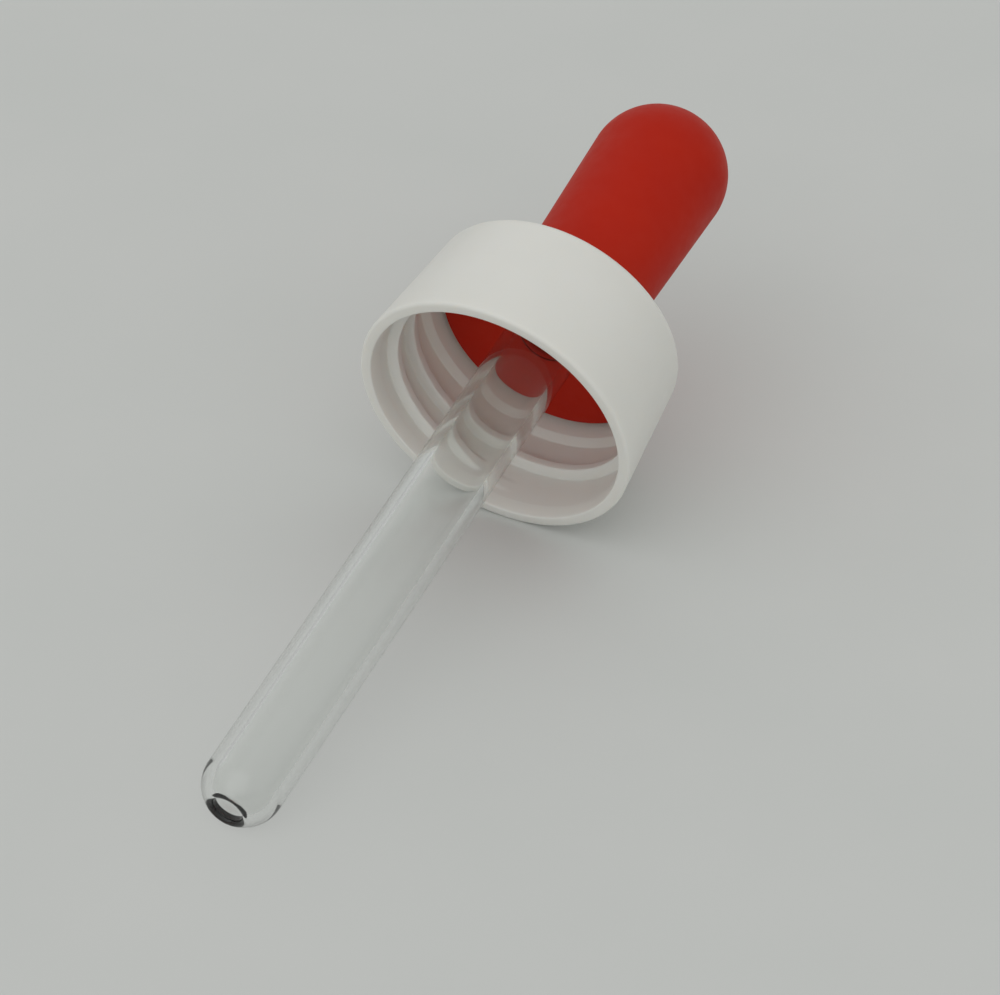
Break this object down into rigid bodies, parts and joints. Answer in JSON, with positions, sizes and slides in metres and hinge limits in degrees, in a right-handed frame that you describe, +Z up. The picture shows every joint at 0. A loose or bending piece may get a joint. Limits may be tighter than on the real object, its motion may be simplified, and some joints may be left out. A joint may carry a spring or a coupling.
{
  "type": "dropper closure",
  "caption": "Screw-on dropper: a red rubber squeeze bulb in a white threaded cap, with a straight clear pipette plugged into the bulb's neck, lying on its side.",
  "frame": {"origin": "On the surface that the dropper lies on, below the middle of its bounding box.", "axes": "+Z up. +X level, from the pipette's tip towards the bulb. The dropper's own axis lies in the XZ plane and rises 12.1 degrees towards the bulb, because it rests on the cap's rim and the pipette's tip."},
  "size_m": [0.0878, 0.027, 0.0278],
  "materials": {
    "cap_plastic": "smooth moulded white, satin",
    "bulb_rubber": "red moulded rubber, matte to satin",
    "pipette_glass": "clear drawn glass with a flame-rounded tip"
  },
  "bodies": {
    "cap": {"screw_cap": "cap_plastic"},
    "bulb": {"bulb": "bulb_rubber"},
    "wall_left": {"bulb_wall_left": "bulb_rubber"},
    "wall_right": {"bulb_wall_right": "bulb_rubber"},
    "pipette": {"pipette": "pipette_glass"}
  },
  "joints": [
    {"name": "bulb_turn", "type": "hinge", "parent": "cap", "child": "bulb", "pos_m": [0.00428, 0, 0.01315], "axis": [0.9779, 0, 0.209], "continuous": true},
    {"name": "pipette_pull", "type": "slide", "parent": "bulb", "child": "pipette", "axis": [-0.9779, 0, -0.209], "range_m": [0, 0.0076]},
    {"name": "squeeze_left", "type": "slide", "parent": "bulb", "child": "wall_left", "axis": [0, -1, 0], "range_m": [0, 0.0034], "stiffness_N_per_m": 900},
    {"name": "squeeze_right", "type": "slide", "parent": "bulb", "child": "wall_right", "axis": [0, 1, 0], "range_m": [0, 0.0034], "stiffness_N_per_m": 900}
  ],
  "couplings": [
    {"joint": "squeeze_right", "follows": "squeeze_left", "ratio": 1}
  ]
}
